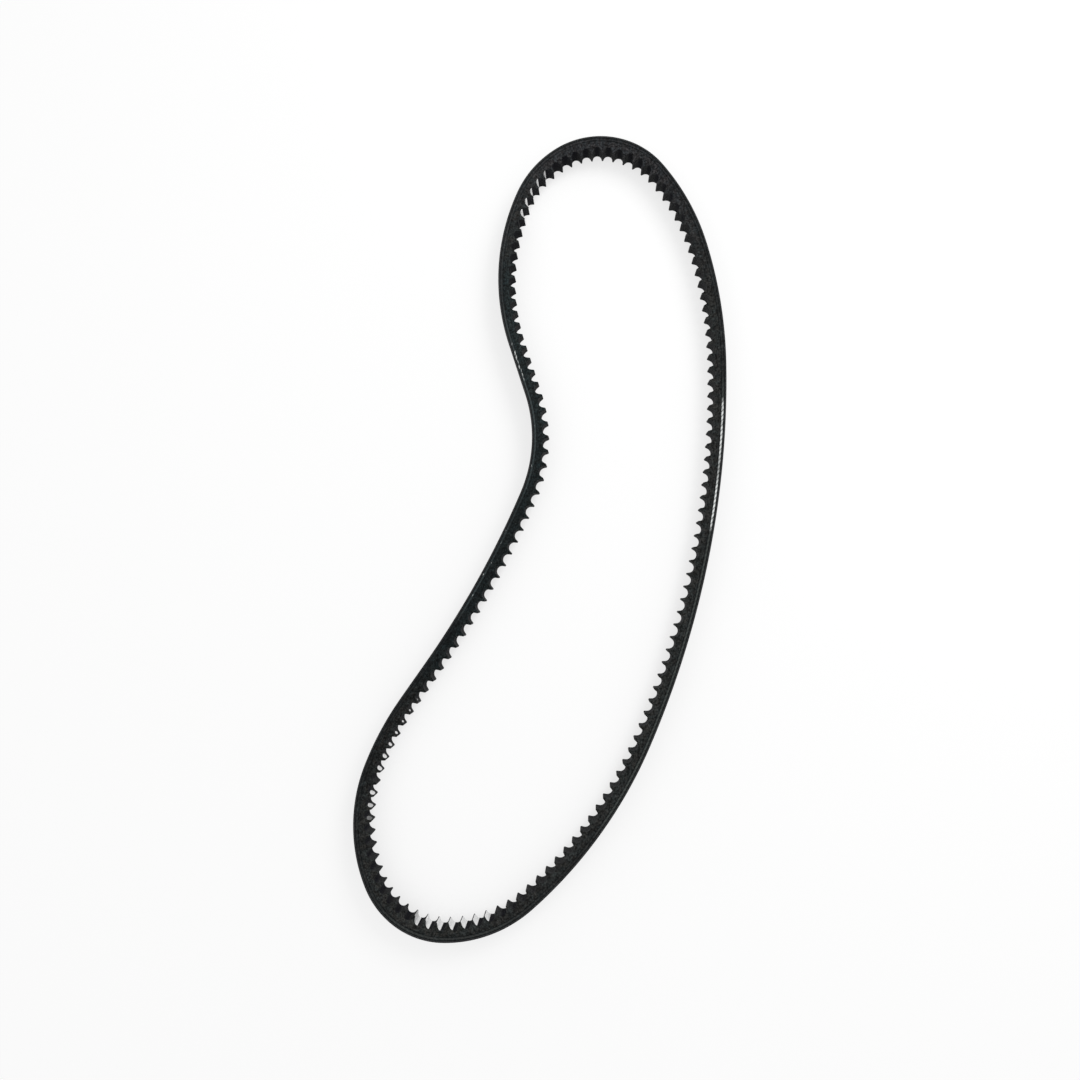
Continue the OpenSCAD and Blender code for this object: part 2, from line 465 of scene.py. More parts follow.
class Nodes:
    """Short words for laying out a node tree"""

    def __init__(self, tree):
        self.tree = tree

    def add(self, kind, **settings):
        node = self.tree.nodes.new(kind)
        for key, value in settings.items():
            setattr(node, key, value)
        return node

    def link(self, source, target):
        self.tree.links.new(source, target)

    def feed(self, socket, value):
        if isinstance(value, bpy.types.NodeSocket):
            self.link(value, socket)
        elif socket.type == "RGBA":
            socket.default_value = (*value, 1)
        else:
            socket.default_value = value

    def feed_all(self, sockets, values):
        for socket, value in zip(sockets, values):
            self.feed(socket, value)

    def math(self, operation, *values, clamp=False):
        node = self.add("ShaderNodeMath", operation=operation, use_clamp=clamp)
        self.feed_all(node.inputs, values)
        return node.outputs[0]

    def times(self, one, two):
        return self.math("MULTIPLY", one, two)

    def minus(self, one, two):
        return self.math("SUBTRACT", one, two)

    def most(self, one, two):
        return self.math("MAXIMUM", one, two)

    def wave(self, turns):
        """Round ridges from 0 to 1, one for each whole turn"""
        return self.math("ABSOLUTE", self.math("SINE", self.times(turns, math.pi)))

    def vector(self, *values):
        node = self.add("ShaderNodeCombineXYZ")
        self.feed_all(node.inputs, values)
        return node.outputs[0]

    def split(self, vector):
        node = self.add("ShaderNodeSeparateXYZ")
        self.link(vector, node.inputs[0])
        return node.outputs

    def strip(self):
        node = self.add("ShaderNodeAttribute", attribute_type="GEOMETRY", attribute_name=STRIP)
        return node.outputs["Vector"]

    def place(self):
        return self.add("ShaderNodeTexCoord").outputs["Object"]

    def streaks(self, along_scale, depth_scale):
        """Coordinates for noise that is drawn out along the belt"""
        place = self.split(self.place())
        depth = self.split(self.strip())[1]
        return self.vector(
            self.times(place[0], along_scale),
            self.times(place[1], along_scale),
            self.times(depth, depth_scale),
        )

    def noise(self, vector, scale=1, detail=2, roughness=0.5):
        node = self.add("ShaderNodeTexNoise", noise_dimensions="3D")
        sockets = (node.inputs[name] for name in ("Vector", "Scale", "Detail", "Roughness"))
        self.feed_all(sockets, (vector, scale, detail, roughness))
        return node.outputs["Fac"]

    def spread(self, value, low, high, to_low=0.0, to_high=1.0):
        node = self.add("ShaderNodeMapRange", clamp=True)
        self.feed_all(node.inputs, (value, low, high, to_low, to_high))
        return node.outputs[0]

    def level(self, noise, low, high, reach=0.2):
        """Level from low to high as the noise passes its middle by a reach on either side"""
        return self.spread(noise, 0.5 - reach, 0.5 + reach, low, high)

    def uneven(self, noise, contrast, reach=0.15):
        """Factor about 1 that swings by a contrast with the noise"""
        return self.level(noise, 1 - contrast, 1 + contrast, reach)

    def scaled(self, mask, factor):
        """1 off the mask and a factor on it"""
        return self.spread(mask, 0, 1, 1, factor)

    def inside(self, ends, loop, soft):
        """1 inside a stretch of the loop, fading out over a soft length at both ends"""
        along = self.split(self.strip())[0]
        past = self.math("FLOORED_MODULO", self.minus(along, ends[0]), loop)
        begun = self.math("DIVIDE", past, soft, clamp=True)
        left = self.minus(ends[1] - ends[0], past)
        return self.times(begun, self.math("DIVIDE", left, soft, clamp=True))

    def band(self, value, middle, width, soft):
        """1 within half a width of the middle, fading out over a soft length"""
        off = self.math("ABSOLUTE", self.minus(value, middle))
        return self.spread(off, width / 2, width / 2 + soft, to_low=1, to_high=0)

    def grey(self, value):
        node = self.add("ShaderNodeCombineColor")
        self.feed_all(node.inputs, (value, value, value))
        return node.outputs[0]

    def mix(self, factor, one, two, blend_type="MIX"):
        node = self.add("ShaderNodeMix", data_type="RGBA", blend_type=blend_type)
        self.feed(node.inputs["Factor"], factor)
        self.feed_all([s for s in node.inputs if s.type == "RGBA"], (one, two))
        return [s for s in node.outputs if s.type == "RGBA"][0]

    def shade(self, colour, factor):
        return self.mix(1.0, colour, factor, "MULTIPLY")

    def white_light(self, kind, strength):
        node = self.add(kind)
        self.feed(node.inputs["Color"], (1, 1, 1))
        self.feed(node.inputs["Strength"], strength)
        return node.outputs[0]

    def mix_shaders(self, factor, one, two):
        node = self.add("ShaderNodeMixShader")
        self.feed_all(node.inputs, (factor, one, two))
        return node.outputs[0]

    def group(self, tree, **values):
        node = self.add("ShaderNodeGroup", node_tree=tree)
        for name, value in values.items():
            self.feed(node.inputs[name.replace("_", " ")], value)
        return node.outputs


def new_group(name, inputs, outputs):
    """Shader group with named sockets: its tree, words, inputs and outputs"""
    tree = bpy.data.node_groups.new(name, "ShaderNodeTree")
    for label, default in inputs.items():
        socket = tree.interface.new_socket(
            name=label, in_out="INPUT", socket_type="NodeSocketFloat"
        )
        socket.default_value = default
    for label in outputs:
        tree.interface.new_socket(name=label, in_out="OUTPUT", socket_type="NodeSocketFloat")
    words = Nodes(tree)
    given = words.add("NodeGroupInput").outputs
    out = words.add("NodeGroupOutput").inputs
    return tree, words, given, out


FINE_TO_GRAIN = 2.3
TINT_TO_GRAIN = 0.4
LAP_SLANT = 1.1
LAP_WIDTH = 0.35 * MM
LAP_SOFT = 0.3 * MM
LAP_DEPTHS = (2.6 * MM, 3.2 * MM)
STRANDS = 3
STRAND_SLANT = 1.5


def mottle_group():
    """Cloudy, grainy and speckled unevenness, at the scales of cut rubber"""
    tree, words, given, out = new_group(
        "Rubber mottle",
        {"Cloud Scale": 330.0, "Grain Scale": 1000.0},
        ("Cloud", "Grain", "Fine", "Tint"),
    )
    place = words.place()
    words.link(words.noise(place, given["Cloud Scale"], detail=3, roughness=0.6), out["Cloud"])
    words.link(words.noise(place, given["Grain Scale"], roughness=0.65), out["Grain"])
    fine_scale = words.times(given["Grain Scale"], FINE_TO_GRAIN)
    words.link(words.noise(place, fine_scale, roughness=0.7), out["Fine"])
    tint_scale = words.times(given["Grain Scale"], TINT_TO_GRAIN)
    words.link(words.noise(place, tint_scale, roughness=0.6), out["Tint"])
    return tree


def grinding_group():
    """Fine lines that run along the belt on its ground flanks"""
    tree, words, given, out = new_group(
        "Grinding lines", {"Along Scale": 120.0, "Depth Scale": 2200.0}, ("Lines",)
    )
    stretched = words.streaks(given["Along Scale"], given["Depth Scale"])
    words.link(words.noise(stretched, roughness=0.6), out["Lines"])
    return tree


def tones_group(looks, loop):
    """Where the loop gets painted light on its top bend and painted shade, cooler and darker, on its
    left, and where the layers lap
    """
    tree, words, given, out = new_group(
        "Loop tones", {"Dusty Fade": 0.07, "Cool Fade": 0.02}, ("Painted Light", "Cool", "Dark", "Lap")
    )
    along, depth, _ = words.split(words.strip())
    slant = words.minus(along, words.times(depth, LAP_SLANT))
    line = words.band(slant, looks.lap, LAP_WIDTH, LAP_SOFT)
    near_back = words.spread(depth, *LAP_DEPTHS, to_low=1, to_high=0)
    words.link(words.times(line, near_back), out["Lap"])
    # Painted light on the top bend; painted shade on the left, cooler and then darker
    words.link(words.inside(looks.painted_light_top, loop, given["Dusty Fade"]), out["Painted Light"])
    words.link(words.inside(looks.cool_run, loop, given["Cool Fade"]), out["Cool"])
    words.link(words.inside(looks.dark_run, loop, given["Cool Fade"]), out["Dark"])
    return tree


def weave_group():
    """Height of two sets of threads that cross on the bias, one over and one under in turn"""
    tree, words, given, out = new_group("Bias weave", {"Threads": 1600.0}, ("Height",))
    along, depth, width = words.split(words.strip())
    around = words.times(along, given["Threads"])
    across = words.math(
        "MULTIPLY_ADD", width, given["Threads"], words.times(depth, given["Threads"])
    )
    warp = words.math("ADD", around, across)
    weft = words.minus(around, across)
    warp_round = words.wave(warp)
    weft_round = words.wave(weft)
    checks = words.math("ADD", words.math("FLOOR", warp), words.math("FLOOR", weft))
    over = words.math("ABSOLUTE", words.math("MODULO", checks, 2.0))
    height = words.math(
        "ADD",
        words.times(warp_round, over),
        words.times(weft_round, words.minus(1.0, over)),
    )
    words.link(height, out["Height"])
    return tree


def strand_group():
    """Sliced strands of the twisted cord, and where the cut lays them bare"""
    tree, words, given, out = new_group(
        "Cord strands",
        {"Strands Along": 500.0, "Slant": 500.0},
        ("Strand", "Fibre", "Bare", "Dash"),
    )
    along, depth, _ = words.split(words.strip())
    around = words.times(along, given["Strands Along"])
    words.link(words.wave(words.math("MULTIPLY_ADD", depth, given["Slant"], around)), out["Strand"])
    fibre = words.streaks(along_scale=600, depth_scale=12000)
    words.link(words.noise(fibre, detail=3, roughness=0.6), out["Fibre"])
    words.link(words.noise(words.place(), scale=24), out["Bare"])
    # Dash noise, which the bare cord uses for its painted glints and painted sheen
    dash = words.streaks(along_scale=260, depth_scale=2600)
    words.link(words.noise(dash, detail=1), out["Dash"])
    return tree


# Materials


COOL_GRAIN = (0.94, 1.01, 1.04)
WARM_GRAIN = (1.055, 0.99, 0.965)
GUM_SHADE = (0.74, 0.74, 0.76)
# Softness and spots of the painted highlights on the groove sides, and the depths over which the cog
# tips' painted light fades in
FACING_SOFT = 0.06
LIT_TIP_DEPTHS = (5.0 * MM, 5.7 * MM)
SPOT_MIDDLE = (6.55 * MM, 1.3 * MM)
SPOT_REACH = (0.85 * MM, 2.1 * MM)
SPOT_GROWTH = (28 * MM, 52 * MM)
SPOT_SIZES = (0.4, 1.2)
SPOT_SOFT = 0.25


def new_material(name):
    """Material with its words and its Principled shader"""
    material = bpy.data.materials.new(name)
    material.use_nodes = True
    material.node_tree.nodes.clear()
    words = Nodes(material.node_tree)
    shader = words.add("ShaderNodeBsdfPrincipled")
    output = words.add("ShaderNodeOutputMaterial")
    words.link(shader.outputs["BSDF"], output.inputs["Surface"])
    return material, words, shader


def bump(words, height, strength, distance, normal=None):
    """Bump node's normal for a height in 0 to 1 over a distance"""
    node = words.add("ShaderNodeBump")
    node.inputs["Strength"].default_value = strength
    node.inputs["Distance"].default_value = distance
    words.link(height, node.inputs["Height"])
    if normal is not None:
        words.link(normal, node.inputs["Normal"])
    return node.outputs["Normal"]


def dress(words, shader, colour, roughness, specular, normal):
    """Feeds the varying sockets of a Principled shader and sets its specular level"""
    words.link(colour, shader.inputs["Base Color"])
    words.link(roughness, shader.inputs["Roughness"])
    shader.inputs["Specular IOR Level"].default_value = specular
    words.link(normal, shader.inputs["Normal"])


def shade_of(colour, factor):
    """Colour scaled by a factor"""
    return tuple(min(1.0, channel * factor) for channel in colour)


class Finishes:
    """The belt's materials, made once and kept by name"""

    made = {}

    @classmethod
    def get(cls, name):
        if name not in cls.made:
            raise RuntimeError(f"there is no finish {name} yet: run {VBELT_OT_finishes.bl_idname}")
        return cls.made[name]

    @classmethod
    def make(cls, looks, path):
        groups = {
            "mottle": mottle_group(),
            "grinding": grinding_group(),
            "weave": weave_group(),
            "strands": strand_group(),
            "tones": tones_group(looks, path.length),
        }
        threads = round(path.length / looks.weave_pitch) / path.length
        twists = round(path.length / looks.strand_lay) * STRANDS / path.length
        cls.made = {
            "outer fabric": fabric_finish(groups, "outer fabric", looks, threads),
            "inner fabric": fabric_finish(groups, "inner fabric", looks, threads, level=0.85),
            "cushion rubber": cushion_finish(groups, looks),
            "cut rubber": cut_finish(groups, looks),
            "moulded rubber": moulded_finish(groups, looks, path.length),
            "bare cord": cord_finish(groups, looks, twists, path.length),
            "inner cord": inner_cord_finish(groups, looks),
        }


def toned(words, tones, level, dark, lap):
    """Level with its factors for the darker run, which is painted shade, and for the lap"""
    level = words.times(level, words.scaled(tones["Dark"], dark))
    return words.times(level, words.scaled(tones["Lap"], lap))


def cut_colour(words, groups, mottle, looks):
    """Colour of a cut face along the loop, with painted light on the top bend, painted shade on the
    left, random patches and grain
    """
    tones = words.group(groups["tones"])
    # Painted light on the top bend, then painted shade, cooler and darker, on the left
    dust_and_painted_light = words.mix(tones["Painted Light"], looks.rubber, looks.rubber_painted_light)
    cool = words.mix(tones["Cool"], dust_and_painted_light, looks.rubber_cool)
    tint = words.mix(words.level(mottle["Tint"], 0, 1, reach=0.08), COOL_GRAIN, WARM_GRAIN)
    level = words.times(
        words.uneven(mottle["Grain"], contrast=0.8), words.uneven(mottle["Fine"], contrast=0.5)
    )
    level = words.times(level, words.uneven(mottle["Cloud"], contrast=0.28, reach=0.16))
    # Darker still on the left run: painted shade
    level = toned(words, tones, level, dark=0.72, lap=3.2)
    return words.shade(words.shade(cool, tint), words.grey(level))


def fabric_finish(groups, name, looks, threads, level=1):
    """Rubbered fabric: dark gum with the threads just showing through"""
    material, words, shader = new_material(name)
    weave = words.group(groups["weave"], Threads=threads)
    mottle = words.group(groups["mottle"], Cloud_Scale=70.0, Grain_Scale=1500.0)
    tones = words.group(groups["tones"])
    shown = words.times(weave["Height"], words.level(mottle["Cloud"], 0.5, 1.0))
    woven = words.mix(shown, shade_of(looks.fabric, level), shade_of(looks.fabric_thread, level))
    grain = words.uneven(mottle["Grain"], contrast=0.45, reach=0.16)
    # Darker on the left run: painted shade
    grain = toned(words, tones, grain, dark=0.8, lap=2.2)
    rough = bump(words, mottle["Grain"], strength=0.25, distance=0.05 * MM)
    dress(
        words,
        shader,
        colour=words.shade(woven, words.grey(grain)),
        roughness=words.level(mottle["Grain"], 0.6, 0.8),
        specular=0.1,
        normal=bump(words, weave["Height"], strength=0.6, distance=0.09 * MM, normal=rough),
    )
    return material


def cushion_finish(groups, looks):
    """Cushion gum between the layers, cut in one go with the cogs' rubber"""
    material, words, shader = new_material("cushion rubber")
    mottle = words.group(groups["mottle"])
    dress(
        words,
        shader,
        # The cut colour carries painted light on the top bend and painted shade on the left
        colour=words.shade(cut_colour(words, groups, mottle, looks), GUM_SHADE),
        roughness=words.level(mottle["Grain"], 0.6, 0.85),
        specular=0.06,
        normal=bump(words, mottle["Grain"], strength=0.4, distance=0.06 * MM),
    )
    return material


def cut_finish(groups, looks):
    """Cut and ground flank: matt, patchy with painted light and painted shade, grainy, with fine
    lines along the belt
    """
    material, words, shader = new_material("cut rubber")
    mottle = words.group(groups["mottle"])
    lines = words.group(groups["grinding"])
    speck = words.spread(mottle["Fine"], 0.6, 0.72, to_high=0.7)
    base = cut_colour(words, groups, mottle, looks)
    # Light specks over the cut colour, which carries painted light and painted shade
    dust_and_painted_light = words.mix(speck, base, shade_of(looks.rubber, 2.6))
    score = words.spread(lines["Lines"], 0.35, 0.68, to_low=0.8, to_high=1.24)
    rough = bump(words, mottle["Grain"], strength=0.6, distance=0.09 * MM)
    dress(
        words,
        shader,
        colour=words.shade(dust_and_painted_light, words.grey(score)),
        roughness=words.level(mottle["Grain"], 0.6, 0.85),
        specular=0.06,
        normal=bump(words, lines["Lines"], strength=0.4, distance=0.05 * MM, normal=rough),
    )
    return material


def spot_mask(words, looks, loop):
    """Round spots of painted highlight on the groove sides, which grow along the lower left"""
    along, *place = words.split(words.strip())
    off = words.add("ShaderNodeVectorMath", operation="LENGTH")
    shares = [
        words.math("DIVIDE", words.minus(value, middle), reach)
        for value, middle, reach in zip(place, SPOT_MIDDLE, SPOT_REACH)
    ]
    words.link(words.vector(*shares), off.inputs[0])
    size = words.spread(along, *SPOT_GROWTH, *SPOT_SIZES)
    past = words.minus(off.outputs["Value"], size)
    spot = words.spread(past, 0, SPOT_SOFT, to_low=1, to_high=0)
    # One groove is left without the painted highlight
    return words.times(spot, words.scaled(words.inside(looks.clean, loop, soft=1 * MM), 0))


def painted_highlight_mask(words, looks, loop):
    """Where painted highlights sit on the groove sides that face right and upper right"""
    facing = words.add("ShaderNodeTexCoord").outputs["Normal"]

    def side(degrees, least=0.74):
        """1 on the groove sides that face one way across the loop"""
        towards = words.add("ShaderNodeVectorMath", operation="DOT_PRODUCT")
        words.link(facing, towards.inputs[0])
        towards.inputs[1].default_value = (*direction(math.radians(degrees)), 0)
        return words.spread(towards.outputs["Value"], least, least + FACING_SOFT)

    # Painted highlights: white on the groove sides that face right and upper right, in three
    # stretches
    top = words.times(words.inside(looks.highlight_top, loop, soft=3 * MM), side(0, least=0.62))
    foot = words.times(words.inside(looks.highlight_foot, loop, soft=6 * MM), side(32))
    left = words.times(words.inside(looks.highlight_left, loop, soft=12 * MM), side(45))
    left = words.times(left, spot_mask(words, looks, loop))
    return words.most(words.most(top, foot), left)


def moulded_finish(groups, looks, loop):
    """Moulded cogs: painted shade in the groove roots, painted light toward the tips and on the
    right side's grooves, with painted highlights on some sides
    """
    material, words, shader = new_material("moulded rubber")
    mottle = words.group(groups["mottle"], Cloud_Scale=160.0, Grain_Scale=1200.0)
    painted_highlight = painted_highlight_mask(words, looks, loop)
    # Painted shade on the grooves at the top left, and round the painted highlights
    near = words.most(words.inside(looks.dark_grooves, loop, soft=10 * MM), painted_highlight)
    # Painted light toward the cog tips, held back in the top left's grooves and round the painted
    # highlights
    lit_tips = words.spread(words.split(words.strip())[1], *LIT_TIP_DEPTHS)
    lit_tips = words.times(lit_tips, words.spread(near, 0, 0.5, to_low=1, to_high=0.3))
    # Painted light on the right side's grooves and toward the tips
    pale = words.most(words.inside(looks.pale_grooves, loop, soft=30 * MM), lit_tips)
    # Shaded and lit copies of the moulded rubber
    base = words.mix(pale, looks.moulded_rubber, looks.moulded_pale)
    grain = words.times(
        words.uneven(mottle["Grain"], contrast=0.55),
        words.spread(mottle["Cloud"], 0.35, 0.7, to_low=0.7, to_high=1.3),
    )
    dress(
        words,
        shader,
        # White painted highlights over the groove colour
        colour=words.mix(painted_highlight, words.shade(base, words.grey(grain)), looks.painted_highlight),
        roughness=words.level(mottle["Cloud"], 0.65, 0.85),
        specular=0.05,
        normal=bump(words, mottle["Grain"], strength=0.35, distance=0.06 * MM),
    )
    # A glossy coat over the painted highlights
    words.link(painted_highlight, shader.inputs["Coat Weight"])
    shader.inputs["Coat Roughness"].default_value = 0.1
    return material


def cord_finish(groups, looks, twists, loop):
    """Sliced cord: pale strands where the cut lays them bare, with painted sheen and painted glints
    on them, and smeared rubber elsewhere
    """
    material, words, shader = new_material("bare cord")
    strands = words.group(groups["strands"], Strands_Along=twists, Slant=twists * STRAND_SLANT)
    left = words.inside(looks.bare_left, loop, soft=12 * MM)
    right = words.inside(looks.bare_right, loop, soft=12 * MM)
    foot = words.times(words.inside(looks.bare_foot, loop, soft=20 * MM), 0.5)
    bare = words.times(
        words.most(words.most(right, left), foot),
        words.spread(strands["Bare"], 0.36, 0.5, to_low=0.4),
    )
    fibre = words.level(strands["Fibre"], 0, 1, reach=0.15)
    pale = words.mix(fibre, shade_of(looks.cord, 0.6), shade_of(looks.cord, 1.25))
    # Painted shade: darker, cooler cord on the left
    pale = words.mix(left, pale, looks.cord_cool)
    # Painted glints: bright marks along the left, and bright dashes in their own stretch
    marks = words.times(words.spread(strands["Dash"], 0.7, 0.74), left)
    dashes = words.times(
        words.spread(strands["Dash"], 0.5, 0.58, to_high=0.7),
        words.inside(looks.dashes, loop, soft=3 * MM),
    )
    dash = words.times(words.most(marks, dashes), words.spread(strands["Strand"], 0.12, 0.75))
    # Painted sheen: a bright stretch of the bare cord, over its pale fibre
    shine = words.times(
        words.spread(strands["Dash"], 0.3, 0.38, to_low=0.3),
        words.inside(looks.shine, loop, soft=4 * MM),
    )
    lit = words.mix(words.most(shine, dash), pale, looks.cord_bright)
    ridge = words.spread(strands["Strand"], 0.1, 0.7, to_low=0.2)
    thread = words.mix(ridge, shade_of(looks.cord, 0.3), lit)
    mottle = words.group(groups["mottle"])
    # Covered cord takes the cut colour, with its painted light and painted shade
    covered = words.shade(cut_colour(words, groups, mottle, looks), GUM_SHADE)
    dress(
        words,
        shader,
        colour=words.mix(bare, covered, thread),
        roughness=words.level(strands["Fibre"], 0.45, 0.65),
        specular=0.15,
        normal=bump(words, strands["Strand"], strength=0.5, distance=0.08 * MM),
    )
    return material


def inner_cord_finish(groups, looks):
    """Cord turns inside the belt: dipped fibre"""
    material, words, shader = new_material("inner cord")
    mottle = words.group(groups["mottle"], Cloud_Scale=300.0, Grain_Scale=2600.0)
    fibre = words.level(mottle["Grain"], 0, 1, reach=0.15)
    dress(
        words,
        shader,
        colour=words.mix(fibre, shade_of(looks.cord, 0.8), shade_of(looks.cord, 2.2)),
        roughness=words.level(mottle["Cloud"], 0.5, 0.7),
        specular=0.5,
        normal=bump(words, mottle["Grain"], strength=0.3, distance=0.05 * MM),
    )
    return material


# Operators


def settings():
    """The scene's settings and the path that they give"""
    scene = bpy.context.scene
    path = BeltPath(scene.belt_loop, scene.belt_section)
    return scene.belt_section, scene.belt_cogs, scene.belt_looks, path


class VBELT_OT_finishes(bpy.types.Operator):
    """Makes the materials"""

    bl_idname = "vbelt.finishes"
    bl_label = "Finishes"

    def execute(self, context):
        _, _, looks, path = settings()
        Finishes.make(looks, path)
        return {"FINISHED"}


class VBELT_OT_fabric(bpy.types.Operator):
    """Lays the two fabric plies of the back along the loop"""

    bl_idname = "vbelt.fabric"
    bl_label = "Back fabric"

    def execute(self, context):
        section, _, _, path = settings()
        plies = (
            ("outer", 0, section.outer_ply),
            ("inner", section.outer_ply, section.outer_ply + section.inner_ply),
        )
        for side, top, under in plies:
            bm = bmesh.new()
            wide, narrow = half_width(section, top), half_width(section, under)
            section_ring(bm, [(top, -wide), (under, -narrow), (under, narrow), (top, wide)])
            sweep(bm, path)
            if side == "outer":
                self.dull_edges(bm, section.cut_edge)
            lay_on_loop(bm, path)
            finish = Finishes.get(f"{side} fabric")
            finish_piece(bm, f"{side}_ply_fabric", [f"{side}_ply"], [finish])
        return {"FINISHED"}

    def dull_edges(self, bm, width):
        """Bevels the two edges of the back that run along the strip"""
        corners = [
            edge
            for edge in bm.edges
            if all(v.co.y == 0 for v in edge.verts)
            and abs(edge.verts[0].co.x - edge.verts[1].co.x) > SWEEP_STEP / 2
        ]
        bmesh.ops.bevel(
            bm, geom=corners, offset=width, affect="EDGES", segments=2, profile=0.5, material=-1
        )


class VBELT_OT_bare_cord(bpy.types.Operator):
    """Lays the two sliced turns of cord along the flanks"""

    bl_idname = "vbelt.bare_cord"
    bl_label = "Bare cord"

    CIRCLE_SIDES = 24
    TURNS = 10

    def execute(self, context):
        section, _, _, path = settings()
        edge_turn = (self.TURNS - 1) / 2 * section.cord_pitch
        for side, node in ((-1, "cord_1"), (1, "cord_10")):
            bm = bmesh.new()
            centre = Matrix.Translation((0, path.cord_line, side * edge_turn))
            upright = Matrix.Rotation(math.pi / 2, 4, "Y")
            bmesh.ops.create_circle(
                bm, segments=self.CIRCLE_SIDES, radius=section.cord / 2, matrix=centre @ upright
            )
            flank = section.flank_angle / 2
            on_flank = (0, path.cord_line, side * half_width(section, path.cord_line))
            outward = (0, math.sin(flank), side * math.cos(flank))
            ring = bm.verts[:] + bm.edges[:]
            bmesh.ops.bisect_plane(
                bm, geom=ring, plane_co=on_flank, plane_no=outward, clear_outer=True, dist=EXACT
            )
            ends = [vert for vert in bm.verts if len(vert.link_edges) == 1]
            bm.edges.new(ends)
            sweep(bm, path)
            lay_on_loop(bm, path)
            finish_piece(bm, f"{node}_bare", [node], [Finishes.get("bare cord")])
        return {"FINISHED"}


class VBELT_OT_cogs(bpy.types.Operator):
    """Models one groove and its two half cogs, repeats it and lays it along the loop"""

    bl_idname = "vbelt.cogs"
    bl_label = "Cogs"

    ROOT_STEPS = 7
    TIP_STEPS = 3
    FLANK_FACING = 0.5

    def execute(self, context):
        section, cogs, _, path = settings()
        count = round(path.length / cogs.pitch)
        pitch = path.length / count
        start = cogs.first - pitch / 2
        bm = bmesh.new()
        self.draw_groove(bm, section, cogs, path.cord_line, pitch)
        bmesh.ops.translate(bm, vec=(cogs.first, 0, 0), verts=bm.verts)
        move_along(bm, pitch, count - 1, copies=True)
        bmesh.ops.remove_doubles(bm, verts=bm.verts, dist=MERGE)
        self.fill_body(bm, section, path, start)
        lay_on_loop(bm, path, start)
        finishes = [Finishes.get("cut rubber"), Finishes.get("moulded rubber")]
        finish_piece(bm, "cog_body_rubber", ["cog_body"], finishes)
        return {"FINISHED"}

    def draw_groove(self, bm, section, cogs, cord_line, pitch):
        """Outline of one groove, from the middle of one cog tip to the middle of the next"""
        root_depth = section.height - cogs.depth
        opening = pitch / (cogs.moulded - cord_line) / 2
        radius = cogs.root + (root_depth + cogs.root - cord_line) * opening
        flare = cogs.flare + opening
        steep = math.pi / 2 - flare
        centre = root_depth + radius
        side_depth = centre - radius * math.sin(flare)
        corner = radius * math.cos(flare) + (section.height - side_depth) * math.tan(flare)
        mouth = corner + cogs.tip * math.tan(steep / 2)
        root = bm.verts.new((0, root_depth, 0))
        side = arc(bm, root, (0, centre, 0), steep, self.ROOT_STEPS)
        shoulder = bm.verts.new((mouth, section.height, 0))
        tip_centre = (mouth, section.height - cogs.tip, 0)
        bm.edges.new((side, arc(bm, shoulder, tip_centre, steep, self.TIP_STEPS)))
        tip = bm.verts.new((pitch / 2, section.height, 0))
        bm.edges.new((shoulder, tip))
        bmesh.ops.mirror(bm, geom=bm.verts[:] + bm.edges[:], axis="X", merge_dist=MERGE)

    def fill_body(self, bm, section, path, start):
        """Fills from the outline out to the gum, and spreads the two flanks apart"""
        walls = bmesh.ops.extrude_edge_only(bm, edges=bm.edges[:])
        for vert in verts_of(walls["geom"]):
            vert.co.y = path.cord_line + section.cord / 2 + section.under_cord
        raised = bmesh.ops.extrude_face_region(bm, geom=bm.faces[:], use_keep_orig=True)
        upper = set(verts_of(raised["geom"]))
        ends = [
            face
            for face in bm.faces
            if all(v.co.x < start + MERGE for v in face.verts)
            or all(v.co.x > start + path.length - MERGE for v in face.verts)
        ]
        bmesh.ops.delete(bm, geom=ends, context="FACES_ONLY")
        for vert in bm.verts:
            side = 1 if vert in upper else -1
            vert.co.z = side * half_width(section, vert.co.y)
        bmesh.ops.recalc_face_normals(bm, faces=bm.faces)
        for face in bm.faces:
            face.material_index = 0 if abs(face.normal.z) > self.FLANK_FACING else 1


class VBELT_OT_inner_layers(bpy.types.Operator):
    """Gives the gum layers and the inner cord turns their materials"""

    bl_idname = "vbelt.inner_layers"
    bl_label = "Inner layers"

    def execute(self, context):
        for name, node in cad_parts.items():
            if name in ("over_gum", "under_gum"):
                finish = Finishes.get("cushion rubber")
            elif name.startswith("cord_"):
                finish = Finishes.get("inner cord")
            else:
                continue
            if not node.material_slots:
                raise RuntimeError(f"{name} has no material slot")
            for slot in node.material_slots:
                slot.material = finish
        return {"FINISHED"}


def area_lamp(name, place, aim, size, power):
    """Adds a square soft lamp that faces a point"""
    data = bpy.data.lights.new(name, "AREA")
    data.shape = "SQUARE"
    data.size = size
    data.energy = power
    lamp = bpy.data.objects.new(name, data)
    lamp.location = place
    lamp.rotation_euler = (aim - place).to_track_quat("-Z", "Y").to_euler()
    bpy.context.scene.collection.objects.link(lamp)


